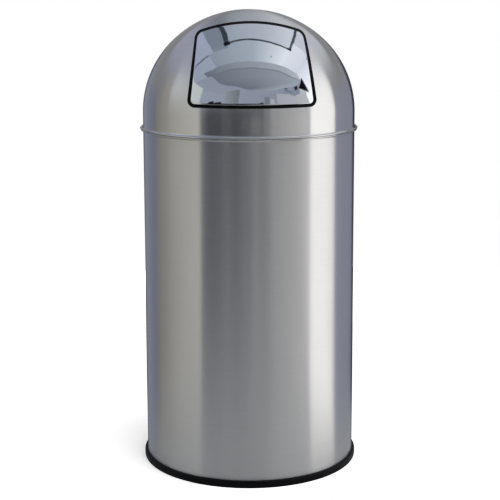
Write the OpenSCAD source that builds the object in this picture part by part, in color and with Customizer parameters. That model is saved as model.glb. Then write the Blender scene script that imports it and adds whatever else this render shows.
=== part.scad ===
// Dome top push bin: a brushed steel body with a removable dome, a sprung push flap,
// and a galvanised inner bucket with a wire handle. Front is -Y, up is +Z.
// The origin is the middle of the foot ring, on the floor.

/* [Body] */
// Outside diameter of the body and of the dome's skirt
body_d = 350; // [320:1:400]
// Height of the joint between the body and the dome
parting_z = 561; // [480:1:700]
// Thickness of the body and dome sheet
sheet_t = 0.8; // [0.6:0.1:1.2]
// How far the body's rolled lip stands out at the joint
body_lip_out = 4; // [3:0.1:6]
// Height over which the body flares out to its lip
body_flare_h = 5; // [4:0.1:8]
// Radius of the roll on the body's lip
body_curl_r = 1; // [0.8:0.1:1.4]

/* [Foot] */
// How far the foot ring stands out from the body
ring_out = 4.8; // [3:0.1:10]
// Height of the foot ring outside the body
ring_h = 11; // [10.5:0.5:25]
// Thickness of the foot ring under the body's edge
ring_floor_t = 3; // [2:0.5:6]
// Thickness of the foot ring's inner lip
ring_lip_t = 2; // [1.5:0.5:5]
// Radius on the foot ring's outer corners
ring_round_r = 2.6; // [1:0.1:2.9]
// Height of the base plate's top face
base_z = 10; // [9:0.5:11.5]
// Thickness of the base plate
base_t = 1; // [0.8:0.1:2]

/* [Dome] */
// Straight height of the dome above the joint
skirt_h = 27; // [20:1:60]
// Distance from the dome's axis to the middle of its shoulder's arc
shoulder_x = 13.5; // [12:0.5:25]
// Angle above the horizontal where the shoulder meets the crown
blend_a = 45; // [40:1:50]
// How far the dome's lip stands out at the joint
dome_lip_out = 5; // [4:0.1:7]
// Height over which the dome flares out to its lip
dome_flare_h = 5.5; // [4:0.5:10]
// Radius of the rolled edge on the dome's lip
dome_curl_r = 1.2; // [0.8:0.1:1.6]
// How far the locating collar reaches down into the body
collar_drop = 28; // [15:1:60]
// How far the locating collar is welded up inside the skirt
collar_rise = 20; // [16:1:25]
// Thickness of the locating collar
collar_t = 1; // [0.8:0.1:2]
// Gap between the collar and the inside of the body
collar_gap = 0.8; // [0.5:0.1:1.5]

/* [Opening] */
// Height of the opening's bottom edge above the joint
opening_rise = 47; // [42:1:55]
// Drop from the top of the dome to the opening's top edge
opening_drop = 17; // [15:0.5:22]
// Width of the opening along its bottom edge
opening_w = 204; // [180:1:215]
// Lean of the opening's sides towards the middle
side_lean = 7.5; // [5:0.5:10]
// Radius of the opening's arched top edge
arch_r = 235; // [200:5:300]
// Radius of the opening's bottom corners
low_corner_r = 11; // [8:0.5:16]
// Radius of the opening's top corners
high_corner_r = 17; // [8:0.5:24]

/* [Flap] */
// Gap between the flap and the opening
flap_gap = 3.1; // [2:0.1:4]
// How far the flap's face lies below the dome's face
flap_recess = 1.2; // [0.8:0.1:2]
// Thickness of the flap's sheet
flap_t = 0.8; // [0.6:0.1:1.2]
// Depth of the flange behind the flap's face
flange_depth = 10; // [6:0.5:14]
// How far the rubber gasket reaches past the opening's edge, behind the dome
gasket_reach = 5; // [3:0.5:7]
// Thickness of the gasket's strip above the hinge, where there is no lip
gasket_strip_t = 0.8; // [0.6:0.1:1]
// Gap between the opening's edge and that strip
gasket_top_gap = 1; // [0.9:0.1:1.4]
// Thickness of the rubber gasket
gasket_t = 2.4; // [1.5:0.1:3.5]
// Drop from the hinge to the top ends of the flange and the gasket
flange_drop = 16; // [12:1:30]

/* [Hinge] */
// Depth of the hinge's centre below the dome's face
hinge_depth = 26; // [25:0.5:30]
// Angle from the opening's top edge back to the hinge
hinge_back_a = 1.4; // [1:0.1:2]
// Radius of the hinge rod
rod_r = 3; // [2.5:0.1:3.4]
// Distance between the middles of the two flap lugs
lug_pair_w = 90; // [60:1:96]
// Thickness of a flap lug
lug_t = 2; // [1.5:0.1:3]
// Outside radius of a lug's eye
lug_eye_r = 9; // [8:0.5:11]
// Height of the lug's top edge above the hinge, well in front of it
lug_rise = 12; // [11:0.5:14]
// Drop from the hinge to the lug's lower end
lug_drop = 42; // [30:1:46]
// Distance from the hinge forward to the lug's lower back corner
lug_throat = 52; // [44:1:56]
// Wall of a bush between the rod and the lug
bush_wall = 2; // [1.5:0.1:2.5]
// How far a bush's flange stands out from the bush
bush_flange_out = 1.5; // [1:0.1:2]
// Thickness of a bush's flange
bush_flange_t = 1.2; // [1:0.1:2]
// Clearance between the rod and a bush
running_gap = 0.05; // [0.02:0.01:0.1]
// Thickness of a hinge bracket's sheet
bracket_t = 2; // [1.5:0.1:2.5]
// Outside radius of a hinge bracket's eye
bracket_eye_r = 7; // [6.5:0.5:8]
// Width of a hinge bracket's welded foot
foot_w = 16; // [10:1:20]
// Length of a hinge bracket's welded foot
foot_l = 22; // [18:1:40]
// Distance from the hinge back to the front of the welded feet
foot_setback = 11; // [10:0.5:16]
// Outside radius of a push-on clip on the rod
clip_r = 6; // [5:0.5:7]
// Thickness of a push-on clip
clip_t = 1.5; // [1:0.1:2]
// How far the rod reaches past each clip
rod_tail = 2.5; // [1:0.5:4]

/* [Springs] */
// Wire diameter of the return springs
spring_wire_d = 1.6; // [1.2:0.1:1.8]
// Radius of the springs' coils at the middle of the wire
coil_r = 5.3; // [5.2:0.1:6.5]
// Distance along the rod from one coil to the next
coil_pitch = 2.2; // [2.2:0.05:2.6]
// Number of coils, counted to the next whole turn
coil_n = 5; // [3:1:6]
// Gap between a spring and the bush or bracket beside it
spring_side_gap = 1; // [0.6:0.1:1.5]

/* [Inner bucket] */
// Gap between the inner bucket and the inside of the body
bucket_gap = 14.2; // [13.2:0.1:30]
// Height of the inner bucket's rim above the base plate
bucket_h = 533; // [400:1:533]
// Thickness of the inner bucket's sheet
bucket_t = 0.6; // [0.5:0.1:1.5]
// Radius of the inner bucket's rolled rim
rim_r = 3; // [2:0.1:4]
// Height of the bucket's bottom above its lower edge
bottom_rise = 6; // [4:1:15]
// Radius of the stiffening beads rolled round the bucket
bead_r = 2; // [1:0.1:3]
// Drop from the rim to the upper stiffening bead
upper_bead_drop = 70; // [60:5:150]
// Drop from the rim to the lower stiffening bead
lower_bead_drop = 350; // [200:10:370]

/* [Bucket handle] */
// Wire radius of the bucket's handle
bail_wire_r = 2; // [1.5:0.1:3]
// Thickness of a handle ear
ear_t = 1.5; // [1:0.1:2]
// Width of a handle ear
ear_w = 18; // [14:1:30]
// How far a handle ear reaches down inside the bucket, from the handle's pivot
ear_drop = 40; // [34:1:60]
// How far the heads inside the ears stand out from the handle's wire
pin_head_out = 1.5; // [1:0.1:2]
// Thickness of those heads
pin_head_t = 2; // [1:0.1:3]
// Clearance of the handle's end in its ear
pivot_gap = 0.1; // [0.05:0.05:0.3]
// Radius of the rivets that hold the ears
rivet_r = 2; // [1.5:0.1:3]
// Radius of a rivet's head
rivet_head_r = 4; // [3.2:0.1:6]
// Height of a rivet's head
rivet_head_h = 1.4; // [1:0.1:2]
// Distance between an ear's two rivets
rivet_pitch = 13; // [9:1:16]

/* [Hidden] */
$fn = 96;
seat_gap = 0.3;     // between pieces that rest on each other and lift apart
far = 400;          // reach of cutting shapes
past = 1;           // how far a cutting shape passes what it cuts
inside_depth = 100; // deep enough below the dome's face to hold all the hinge work

body_r = body_d / 2;
inner_r = body_r - sheet_t;

// The dome's face: a skirt, a shoulder arc and a crown arc that meet in a tangent.
dome_base_z = parting_z + seat_gap;
equator_z = parting_z + skirt_h;
shoulder_r = body_r - shoulder_x;
crown_r = shoulder_r + shoulder_x / cos(blend_a);
crown_z = equator_z - shoulder_x * tan(blend_a);
dome_top_z = crown_z + crown_r;

// The opening, seen from the front.
opening_z0 = parting_z + opening_rise;
opening_z1 = dome_top_z - opening_drop;

// The hinge's centre line, behind the opening's top edge.
edge_a = acos((opening_z1 - crown_z) / crown_r);
hinge_y = -(crown_r - hinge_depth) * sin(edge_a - hinge_back_a);
hinge_z = crown_z + (crown_r - hinge_depth) * cos(edge_a - hinge_back_a);

// Places along the hinge rod, from the middle outwards.
lug_x0 = (lug_pair_w - lug_t) / 2;
lug_x1 = lug_x0 + lug_t;
bush_x0 = lug_x0 - bush_flange_t;
bush_x1 = lug_x1 + bush_flange_t;
coil_turns = coil_n - 1 / 6;
coil_x0 = bush_x1 + spring_side_gap + spring_wire_d / 2;
coil_x1 = coil_x0 + coil_turns * coil_pitch;
bracket_x0 = coil_x1 + spring_wire_d / 2 + spring_side_gap;
bracket_x1 = bracket_x0 + bracket_t;
clip_x1 = bracket_x1 + clip_t;
rod_x1 = clip_x1 + rod_tail;
bush_r = rod_r + bush_wall;

// The inner bucket, which stands on the base plate.
bucket_r = inner_r - bucket_gap;
bucket_in_r = bucket_r - bucket_t;
bucket_z0 = base_z + seat_gap;
bucket_z1 = bucket_z0 + bucket_h;
rim_x = bucket_in_r + rim_r;
bail_z = bucket_z1 + seat_gap + bail_wire_r;
ear_in_r = bucket_in_r - ear_t;
rivet_zs = [bail_z - ear_drop + ear_w / 2, bail_z - ear_drop + ear_w / 2 + rivet_pitch];
// A flat head lies against the round ear along its two sides.
head_x = sqrt(ear_in_r * ear_in_r - rivet_head_r * rivet_head_r);
pin_head_r = bail_wire_r + pin_head_out;
pin_head_x = sqrt(ear_in_r * ear_in_r - pin_head_r * pin_head_r) - seat_gap;

steel = "lightsteelblue";
polished = "whitesmoke";
galvanised = "lightgrey";
rubber = "#1b1b1d";

// ---- Shared shapes ----

// Points on an arc round c, from angle a0 to a1 in n steps.
function arc(c, r, a0, a1, n) =
  [for (i = [0:n]) let (a = a0 + (a1 - a0) * i / n) c + r * [cos(a), sin(a)]];

// A ring between two radii, kept from angle a0 to a1, up to a quarter turn.
module ring_sector(r0, r1, a0, a1) {
  reach = 2 * r1;
  intersection() {
    difference() {
      circle(r1);
      circle(r0);
    }
    polygon([[0, 0], reach * [cos(a0), sin(a0)], reach * [cos((a0 + a1) / 2), sin((a0 + a1) / 2)],
      reach * [cos(a1), sin(a1)]]);
  }
}

// Half the section of the dome between two depths below its face, from height z0 up.
module dome_section(depth0, depth1, z0) {
  if (z0 < equator_z)
    translate([body_r - depth1, z0])
      square([depth1 - depth0, equator_z - z0]);
  translate([shoulder_x, equator_z])
    ring_sector(shoulder_r - depth1, shoulder_r - depth0, 0, blend_a);
  translate([0, crown_z])
    ring_sector(crown_r - depth1, crown_r - depth0, blend_a, 90);
}

// The same section turned all the way round.
module dome_layer(depth0, depth1, z0) {
  rotate_extrude()
    dome_section(depth0, depth1, z0);
}

// The point where a line from p along the unit direction d leaves a circle round the origin.
function exit_point(p, d, r) = p + d * (sqrt(pow(p * d, 2) - p * p + r * r) - p * d);

// The opening's outline in X and Z, drawn in by inset.
function opening_outline(inset) =
  let (
    low_r = low_corner_r - inset,
    high_r = high_corner_r - inset,
    top_r = arch_r - inset,
    top_c = [0, opening_z1 - arch_r],
    low_c = [opening_w / 2 - low_corner_r * (1 + sin(side_lean)) / cos(side_lean),
      opening_z0 + low_corner_r],
    // The upper corner's centre lies high_r inside both the side and the arch.
    high_c = top_c + exit_point(
      low_c - (high_r - low_r) * [cos(side_lean), sin(side_lean)] - top_c,
      [-sin(side_lean), cos(side_lean)],
      top_r - high_r
    ),
    arch_a = atan2(high_c[1] - top_c[1], high_c[0]),
    half = concat(
      arc(low_c, low_r, -90, side_lean, 6),
      arc(high_c, high_r, side_lean, arch_a, 6),
      arc(top_c, top_r, arch_a, 90, 10)
    ),
    last = len(half) - 1
  )
  concat(half, [for (i = [last - 1:-1:0]) [-half[i][0], half[i][1]]]);

// The outline drawn in by inset, pushed back through the front half of the dome.
module front_cut(inset) {
  rotate([90, 0, 0])
    linear_extrude(far)
      polygon(opening_outline(inset));
}

// A flat shape in Y and Z, given thickness from x0 to x1.
module side_plate(x0, x1) {
  translate([x0, 0, 0])
    rotate([90, 0, 90])
      linear_extrude(x1 - x0)
        children();
}

// A round bar along X through the point y, z.
module bar_x(r, x0, x1, y, z) {
  translate([x0, y, z])
    rotate([0, 90, 0])
      cylinder(r = r, h = x1 - x0);
}

module mirrored(side) {
  if (side < 0) mirror([1, 0, 0]) children();
  else children();
}

// The end of a wall that hangs down to height 0 and flares out there into a rolled edge.
// The flare is one arc, tangent to the wall, whose sheet runs into the middle of the roll.
module flared_lip(out, flare_h, curl_r, wall_h) {
  run = out - curl_r;
  rise = flare_h - curl_r;
  flare_r = (run * run + rise * rise - sheet_t * sheet_t / 4) / (2 * run + sheet_t);
  flare_a = atan2(rise, flare_r - run);
  translate([inner_r, flare_h])
    square([sheet_t, wall_h - flare_h]);
  translate([body_r + flare_r, flare_h])
    ring_sector(flare_r, flare_r + sheet_t, 180, 180 + flare_a);
  translate([body_r + run, curl_r])
    circle(curl_r);
}

// ---- Outer body ----

module body_shell() {
  color(steel)
    rotate_extrude()
      translate([0, parting_z])
        mirror([0, 1])
          flared_lip(body_lip_out, body_flare_h, body_curl_r, parting_z - ring_floor_t);
}

// A disc welded inside the body, which also stands on the foot ring's inner lip.
module base_plate() {
  color(galvanised)
    translate([0, 0, base_z - base_t])
      cylinder(r = inner_r, h = base_t);
}

// A wall section from x = 0 to w, with its two outer corners rounded.
module rounded_wall(w, h, r) {
  intersection() {
    square([w, h]);
    union() {
      square([w - r, h]);
      translate([w - r, r])
        square([r, h - 2 * r]);
      for (z = [r, h - r])
        translate([w - r, z])
          circle(r);
    }
  }
}

// A U-section ring that clips over the body's lower edge.
module base_ring() {
  color(rubber)
    rotate_extrude() {
      translate([inner_r - ring_lip_t, 0])
        square([ring_lip_t, base_z - base_t]);
      translate([inner_r, 0])
        square([sheet_t, ring_floor_t]);
      translate([body_r, 0])
        rounded_wall(ring_out, ring_h, ring_round_r);
    }
}

// ---- Dome ----

module dome_shell() {
  color(steel)
    difference() {
      rotate_extrude() {
        dome_section(0, sheet_t, equator_z);
        translate([0, dome_base_z])
          flared_lip(dome_lip_out, dome_flare_h, dome_curl_r, equator_z - dome_base_z);
      }
      front_cut(0);
    }
}

// The ring welded inside the skirt, stepped in so that it slides into the body.
module dome_collar() {
  low_r = inner_r - collar_gap;
  step_z0 = dome_base_z + dome_flare_h / 2;
  step_z1 = dome_base_z + dome_flare_h;
  z0 = parting_z - collar_drop;
  z1 = dome_base_z + collar_rise;
  color(galvanised)
    rotate_extrude()
      polygon([[low_r - collar_t, z0], [low_r, z0], [low_r, step_z0], [inner_r, step_z1],
        [inner_r, z1], [inner_r - collar_t, z1], [inner_r - collar_t, step_z1],
        [low_r - collar_t, step_z0]]);
}

// A foot welded under the crown, with an ear that carries one end of the rod.
module hinge_bracket(side) {
  front_y = hinge_y + foot_setback;
  color(galvanised)
    mirrored(side)
      difference() {
        union() {
          difference() {
            intersection() {
              dome_layer(sheet_t, inside_depth, equator_z);
              union() {
                side_plate(bracket_x0, bracket_x1)
                  polygon([[hinge_y, hinge_z], [front_y, hinge_z + bracket_eye_r], [front_y, dome_top_z],
                    [front_y + foot_l, dome_top_z], [front_y + foot_l, hinge_z + bracket_eye_r],
                    [hinge_y + bracket_eye_r, hinge_z - bracket_eye_r / 2]]);
                translate([bracket_x0, front_y, hinge_z + bracket_eye_r])
                  cube([foot_w, foot_l, dome_top_z - hinge_z]);
              }
            }
            intersection() {
              dome_layer(sheet_t + bracket_t, inside_depth + past, equator_z);
              translate([bracket_x1, -far / 2, equator_z])
                cube([far, far, far]);
            }
          }
          bar_x(bracket_eye_r, bracket_x0, bracket_x1, hinge_y, hinge_z);
        }
        bar_x(rod_r, bracket_x0 - past, bracket_x1 + past, hinge_y, hinge_z);
      }
}

module hinge_rod() {
  color("silver")
    bar_x(rod_r, -rod_x1, rod_x1, hinge_y, hinge_z);
}

// Push-on clips that keep the rod in its brackets.
module rod_clips() {
  color("dimgray")
    for (side = [-1, 1])
      mirrored(side)
        difference() {
          bar_x(clip_r, bracket_x1, clip_x1, hinge_y, hinge_z);
          bar_x(rod_r, bracket_x1 - past, clip_x1 + past, hinge_y, hinge_z);
        }
}

// ---- Return springs ----

// The wire's line: a leg from the flap, the coils, and a leg up to the dome.
// In side view each leg leaves the coils in a tangent and stops just short of the sheet above it.
spring_step_a = 30;
spring_sides = 6;
spring_a0 = 90;
spring_a1 = spring_a0 - coil_turns * 360;
spring_steps = ceil(coil_turns * 360 / spring_step_a);
function on_coil(a) = [hinge_y, hinge_z] + coil_r * [cos(a), sin(a)];
function leg_end(a, d, x, depth) =
  let (crown_c = [0, crown_z], r = crown_r - depth - seat_gap - spring_wire_d / 2)
  crown_c + exit_point(on_coil(a) - crown_c, d, sqrt(r * r - x * x));
flap_leg = leg_end(spring_a0, [-1, 0], coil_x0, flap_recess + flap_t);
dome_leg = leg_end(spring_a1, [sin(spring_a1), -cos(spring_a1)], coil_x1, sheet_t);
spring_line = concat(
  [[coil_x0, flap_leg[0], flap_leg[1]]],
  [for (i = [0:spring_steps])
    let (t = i / spring_steps, p = on_coil(spring_a0 + (spring_a1 - spring_a0) * t))
    [coil_x0 + (coil_x1 - coil_x0) * t, p[0], p[1]]],
  [[coil_x1, dome_leg[0], dome_leg[1]]]
);

function unit(v) = v / norm(v);

// A tube of radius r along a line of points, with its rings square to the line.
module tube_along(line, r, sides) {
  last = len(line) - 1;
  steps = [for (i = [1:last]) unit(line[i] - line[i - 1])];
  points = [for (i = [0:last])
    let (
      t = unit(steps[max(i - 1, 0)] + steps[min(i, last - 1)]),
      u = unit(cross(t, [1, 0, 0])),
      v = cross(t, u)
    )
    for (k = [0:sides - 1]) let (a = 360 * k / sides) line[i] + r * (u * cos(a) + v * sin(a))];
  walls = [for (i = [0:last - 1], k = [0:sides - 1])
    let (a = i * sides + k, b = i * sides + (k + 1) % sides)
    each [[a, a + sides, b], [b, a + sides, b + sides]]];
  first_cap = [for (k = [1:sides - 2]) [0, k, k + 1]];
  last_cap = [for (k = [1:sides - 2]) let (o = last * sides) [o, o + k + 1, o + k]];
  polyhedron(points, concat(walls, first_cap, last_cap), convexity = 8);
}

module return_spring(side) {
  color("darkgray")
    mirrored(side)
      tube_along(spring_line, spring_wire_d / 2, spring_sides);
}

// ---- Flap ----

// The space at the front of the dome above the top ends of the flange and the gasket's lip.
module above_flange() {
  translate([-far / 2, -far, hinge_z - flange_drop])
    cube([far, far, far]);
}

// A pressed sheet with a flange turned in along its sides and bottom.
module flap_panel() {
  color(polished)
    difference() {
      intersection() {
        dome_layer(flap_recess, flap_recess + flange_depth, equator_z);
        front_cut(flap_gap);
      }
      intersection() {
        dome_layer(flap_recess + flap_t, inside_depth, equator_z);
        union() {
          front_cut(flap_gap + flap_t);
          above_flange();
        }
      }
    }
}

// A rubber strip all round the flap's edge. Below the hinge it is thicker, and its lip reaches
// out behind the dome, where it seats when the flap is shut.
module flap_gasket() {
  depth0 = sheet_t + seat_gap;
  color(rubber)
    difference() {
      intersection() {
        dome_layer(depth0, depth0 + gasket_t, equator_z);
        front_cut(-gasket_reach);
      }
      front_cut(flap_gap);
      difference() {
        above_flange();
        front_cut(gasket_top_gap);
      }
      intersection() {
        dome_layer(depth0 + gasket_strip_t, inside_depth, equator_z);
        above_flange();
      }
    }
}

// A plate behind the flap that turns on the rod.
module flap_lug(side) {
  back = flap_recess + flap_t;
  color(galvanised)
    mirrored(side)
      difference() {
        union() {
          difference() {
            side_plate(lug_x0, lug_x1)
              polygon([[hinge_y, hinge_z + lug_eye_r], [hinge_y - far / 4, hinge_z + lug_rise],
                [hinge_y - far / 4, hinge_z - lug_drop], [hinge_y - lug_throat, hinge_z - lug_drop],
                [hinge_y, hinge_z - lug_eye_r]]);
            dome_layer(-far / 4, back, equator_z - lug_eye_r);
          }
          bar_x(lug_eye_r, lug_x0, lug_x1, hinge_y, hinge_z);
        }
        bar_x(bush_r, lug_x0 - past, lug_x1 + past, hinge_y, hinge_z);
      }
}

// A flanged nylon bush between the lug and the rod.
module flap_bush(side) {
  color("ivory")
    mirrored(side)
      difference() {
        union() {
          bar_x(bush_r, bush_x0, bush_x1, hinge_y, hinge_z);
          bar_x(bush_r + bush_flange_out, bush_x0, lug_x0, hinge_y, hinge_z);
          bar_x(bush_r + bush_flange_out, lug_x1, bush_x1, hinge_y, hinge_z);
        }
        bar_x(rod_r + running_gap, bush_x0 - past, bush_x1 + past, hinge_y, hinge_z);
      }
}

// ---- Inner bucket ----

// The bores for the rivets of both ears.
module rivet_bores() {
  for (side = [-1, 1], z = rivet_zs)
    mirrored(side)
      bar_x(rivet_r, head_x - rivet_head_h, bucket_r + rivet_head_h, 0, z);
}

module bucket_wall() {
  color(galvanised)
    difference() {
      rotate_extrude() {
        translate([bucket_in_r, bucket_z0])
          square([bucket_t, bucket_h - rim_r]);
        translate([rim_x, bucket_z1 - rim_r])
          circle(rim_r);
        for (drop = [upper_bead_drop, lower_bead_drop])
          translate([bucket_r, bucket_z1 - drop])
            intersection() {
              circle(bead_r);
              translate([-bucket_t / 2, -bead_r])
                square([2 * bead_r, 2 * bead_r]);
            }
      }
      rivet_bores();
    }
}

// The bucket's bottom, set up inside the wall on a turned-down rim.
module bucket_bottom() {
  color(galvanised)
    rotate_extrude() {
      translate([0, bucket_z0 + bottom_rise - bucket_t])
        square([bucket_in_r, bucket_t]);
      translate([bucket_in_r - bucket_t, bucket_z0])
        square([bucket_t, bottom_rise]);
    }
}

// A strap riveted inside the wall, with an eye above the rim for the handle.
module bail_ear(side) {
  color(galvanised)
    mirrored(side)
      difference() {
        intersection() {
          difference() {
            translate([0, 0, bail_z - ear_drop])
              cylinder(r = bucket_in_r, h = ear_drop + ear_w);
            translate([0, 0, bail_z - ear_drop - past])
              cylinder(r = ear_in_r, h = ear_drop + ear_w + 2 * past);
          }
          side_plate(bucket_in_r / 2, bucket_r) {
            translate([0, bail_z])
              circle(ear_w / 2);
            translate([-ear_w / 2, bail_z - ear_drop])
              square([ear_w, ear_drop]);
          }
        }
        rivet_bores();
        bar_x(bail_wire_r + pivot_gap, pin_head_x, bucket_r, 0, bail_z);
      }
}

// Rivets through the ears and the wall, headed on both sides.
module bail_rivets() {
  color("silver")
    for (side = [-1, 1], z = rivet_zs)
      mirrored(side) {
        bar_x(rivet_r, head_x - rivet_head_h, bucket_r + rivet_head_h, 0, z);
        bar_x(rivet_head_r, head_x - rivet_head_h, head_x, 0, z);
        bar_x(rivet_head_r, bucket_r, bucket_r + rivet_head_h, 0, z);
      }
}

// A half ring of wire that lies on the rim, with its ends turned in through the ears.
module bail_handle() {
  color("silver") {
    intersection() {
      translate([0, 0, bail_z])
        rotate_extrude()
          translate([rim_x, 0])
            circle(bail_wire_r);
      translate([-far / 2, 0, bail_z - far / 2])
        cube([far, far, far]);
    }
    for (side = [-1, 1])
      mirrored(side) {
        translate([rim_x, 0, bail_z])
          sphere(bail_wire_r);
        bar_x(bail_wire_r, pin_head_x - pin_head_t, rim_x, 0, bail_z);
        bar_x(pin_head_r, pin_head_x - pin_head_t, pin_head_x, 0, bail_z);
      }
  }
}

body_shell();
base_plate();
base_ring();
dome_shell();
dome_collar();
hinge_bracket(-1);  // left_hinge_bracket
hinge_bracket(1);  // right_hinge_bracket
hinge_rod();
rod_clips();
return_spring(-1);  // left_spring
return_spring(1);  // right_spring
flap_panel();
flap_gasket();
flap_lug(-1);  // left_flap_lug
flap_lug(1);  // right_flap_lug
flap_bush(-1);  // left_bush
flap_bush(1);  // right_bush
bucket_wall();
bucket_bottom();
bail_ear(-1);  // left_bail_ear
bail_ear(1);  // right_bail_ear
bail_rivets();
bail_handle();
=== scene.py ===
from math import radians, degrees, sin, cos, tan, acos, atan2, sqrt, hypot, pi
import bpy
import bmesh
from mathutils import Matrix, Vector


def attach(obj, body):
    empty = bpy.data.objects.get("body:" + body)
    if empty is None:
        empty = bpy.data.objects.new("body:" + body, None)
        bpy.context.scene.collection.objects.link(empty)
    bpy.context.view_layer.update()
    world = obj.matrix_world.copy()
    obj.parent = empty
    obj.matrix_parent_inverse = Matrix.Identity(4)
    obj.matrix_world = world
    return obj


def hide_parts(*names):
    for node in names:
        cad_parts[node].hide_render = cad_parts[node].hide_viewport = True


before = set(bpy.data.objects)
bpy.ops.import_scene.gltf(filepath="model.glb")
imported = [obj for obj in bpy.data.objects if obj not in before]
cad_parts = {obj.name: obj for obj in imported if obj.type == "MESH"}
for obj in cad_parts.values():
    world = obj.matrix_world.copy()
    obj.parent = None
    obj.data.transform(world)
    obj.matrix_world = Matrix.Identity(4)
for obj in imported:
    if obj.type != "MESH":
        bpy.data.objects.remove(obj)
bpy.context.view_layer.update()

# ---------------------------------------------------------------------------------------------
# Outer body. A drum rolled from 0.8 mm stainless sheet, with a ground seam up its back and a
# lip flared out and rolled at the top. Its face is brushed round the axis with a fine belt, so
# it mirrors its surroundings sideways and smears them up and down.
# ---------------------------------------------------------------------------------------------
BODY_R = 0.175
SHEET = 0.0008
JOINT_Z = 0.561
FOOT_FLOOR = 0.003
WALL_RINGS = 12
BODY_LIP_OUT = 0.004
BODY_FLARE_H = 0.005
BODY_CURL_R = 0.001
FLARE_STEPS = 8
CURL_STEPS = 18
MERGE = 0.00001


def clear_selection():
    bpy.ops.object.select_all(action="DESELECT")


def pick(piece):
    """Selects one piece alone and makes it the active one."""
    clear_selection()
    piece.select_set(True)
    bpy.context.view_layer.objects.active = piece


def face_outwards():
    """Turns the faces of the active piece outwards and leaves it in object mode."""
    bpy.ops.object.mode_set(mode="EDIT")
    bpy.ops.mesh.select_all(action="SELECT")
    bpy.ops.mesh.normals_make_consistent(inside=False)
    bpy.ops.object.mode_set(mode="OBJECT")


def smooth(piece, angle=35):
    """Smooth shading, but for edges sharper than an angle in degrees."""
    pick(piece)
    bpy.ops.object.shade_smooth_by_angle(angle=radians(angle))


def arc(cx, cz, r, a0, a1, n):
    """Points on an arc in n steps, from angle a0 to a1 in degrees."""
    out = []
    for i in range(n + 1):
        a = radians(a0 + (a1 - a0) * i / n)
        out.append((cx + r * cos(a), cz + r * sin(a)))
    return out


def line_piece(name, points):
    """A string of edges, left in edit mode. A small plane is merged to the one vertex that is
    then extruded from point to point."""
    clear_selection()
    bpy.ops.mesh.primitive_plane_add(size=0.01)
    piece = bpy.context.object
    piece.name = name
    piece.data.name = name
    bpy.ops.object.mode_set(mode="EDIT")
    bpy.ops.mesh.select_mode(type="VERT")
    bpy.ops.mesh.select_all(action="SELECT")
    bpy.ops.mesh.merge(type="CENTER")
    here = Vector((0, 0, 0))
    for i, p in enumerate(points):
        step = tuple(Vector(p) - here)
        if i == 0:
            bpy.ops.transform.translate(value=step)
        else:
            bpy.ops.mesh.extrude_region_move(TRANSFORM_OT_translate={"value": step})
        here = Vector(p)
    return piece


def turned(name, section, steps=256, closed=True):
    """A section of (radius, height) points turned once round the bin's axis."""
    points = [(r, 0, z) for r, z in section]
    if closed:
        points.append(points[0])
    piece = line_piece(name, points)
    bpy.ops.mesh.select_all(action="SELECT")
    bpy.ops.mesh.spin(steps=steps, angle=2 * pi, center=(0, 0, 0), axis=(0, 0, 1))
    bpy.ops.mesh.select_all(action="SELECT")
    bpy.ops.mesh.remove_doubles(threshold=MERGE)
    face_outwards()
    smooth(piece)
    return piece


def lip_section(out, flare_h, curl_r):
    """The sheet's outer and inner face round a flared, rolled edge, which is at height 0."""
    run, rise = out - curl_r, flare_h - curl_r
    flare_r = (run * run + rise * rise - SHEET * SHEET / 4) / (2 * run + SHEET)
    mid_r = flare_r + SHEET / 2
    end = degrees(atan2(rise, flare_r - run))
    cx, cz = BODY_R + flare_r, flare_h
    bx, bz = BODY_R + run, curl_r

    def meets(r):
        """How far before the flare's end its face of radius r runs into the roll."""
        return degrees(acos((mid_r ** 2 + r ** 2 - curl_r ** 2) / (2 * mid_r * r)))

    outer = arc(cx, cz, flare_r, 180, 180 + end - meets(flare_r), FLARE_STEPS)
    inner_end = 180 + end - meets(flare_r + SHEET)
    inner = arc(cx, cz, flare_r + SHEET, inner_end, 180, FLARE_STEPS)
    a_out = degrees(atan2(outer[-1][1] - bz, outer[-1][0] - bx))
    a_in = degrees(atan2(inner[0][1] - bz, inner[0][0] - bx))
    while a_in > a_out:
        a_in -= 360
    return outer + arc(bx, bz, curl_r, a_out, a_in, CURL_STEPS)[1:-1] + inner


def linear(code):
    """An sRGB hex colour as linear RGBA."""
    rgb = [int(code[i:i + 2], 16) / 255 for i in (1, 3, 5)]
    return tuple(c / 12.92 if c <= 0.04045 else ((c + 0.055) / 1.055) ** 2.4 for c in rgb) + (1,)


def add(mat, kind, inputs=None, **settings):
    """Adds one node with its settings, its values and its links."""
    n = mat.node_tree.nodes.new("ShaderNode" + kind)
    for key, value in settings.items():
        setattr(n, key, value)
    for key, value in (inputs or {}).items():
        if isinstance(value, bpy.types.NodeSocket):
            mat.node_tree.links.new(value, n.inputs[key])
        else:
            n.inputs[key].default_value = value
    return n


def blank_material(name):
    """A material with no nodes yet."""
    mat = bpy.data.materials.new(name)
    mat.use_nodes = True
    mat.node_tree.nodes.clear()
    return mat


def material(name, base, metallic, roughness):
    """A material with its face, the shader that its patterns are then linked to."""
    mat = blank_material(name)
    face = add(mat, "BsdfPrincipled", {"Base Color": linear(base), "Metallic": metallic,
                                       "Roughness": roughness})
    add(mat, "OutputMaterial", {"Surface": face.outputs[0]})
    return mat, face


def link(mat, out, face, name):
    mat.node_tree.links.new(out, face.inputs[name])


def dress(obj, mat):
    """Gives a piece or a CAD node its one material."""
    obj.data.materials.clear()
    obj.data.materials.append(mat)


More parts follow.
